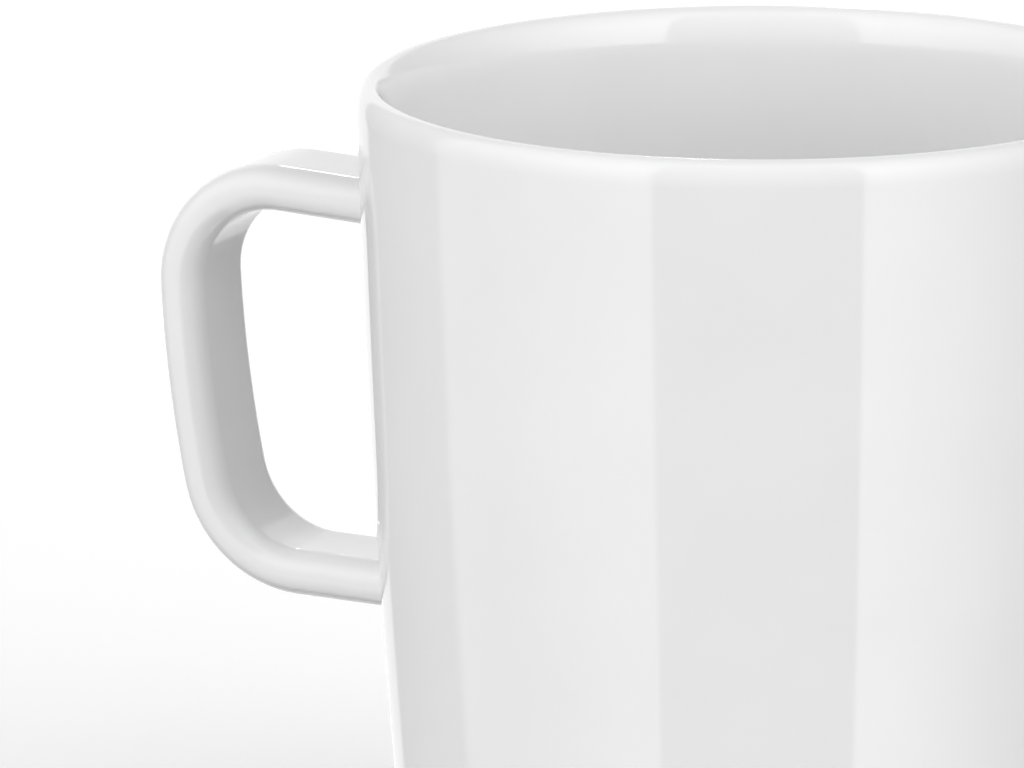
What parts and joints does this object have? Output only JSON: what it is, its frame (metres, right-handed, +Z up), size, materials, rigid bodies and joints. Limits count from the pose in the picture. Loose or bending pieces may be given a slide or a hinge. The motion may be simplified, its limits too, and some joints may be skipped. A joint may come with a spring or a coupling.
{
  "type": "ceramic mug",
  "caption": "Tall glazed ceramic mug with a gently tapered round cup, one slim strap handle and a bare foot ring.",
  "frame": {"origin": "centre of the foot ring's flat resting face, on the cup's axis", "axes": "+Z up along the cup's axis towards the rim, -X towards the handle, +Y across the handle; the mug is mirror symmetric about the XZ plane"},
  "size_m": [0.1171, 0.09, 0.098],
  "materials": {
    "bisque_clay": "matte",
    "joining_slip": "matte",
    "white_glaze": "gloss"
  },
  "bodies": {
    "root": {"body": "bisque_clay", "handle": "bisque_clay", "upper_joint_slip": "joining_slip", "lower_joint_slip": "joining_slip", "outer_glaze": "white_glaze", "inner_glaze": "white_glaze", "handle_glaze": "white_glaze", "base_glaze": "white_glaze"}
  },
  "joints": []
}
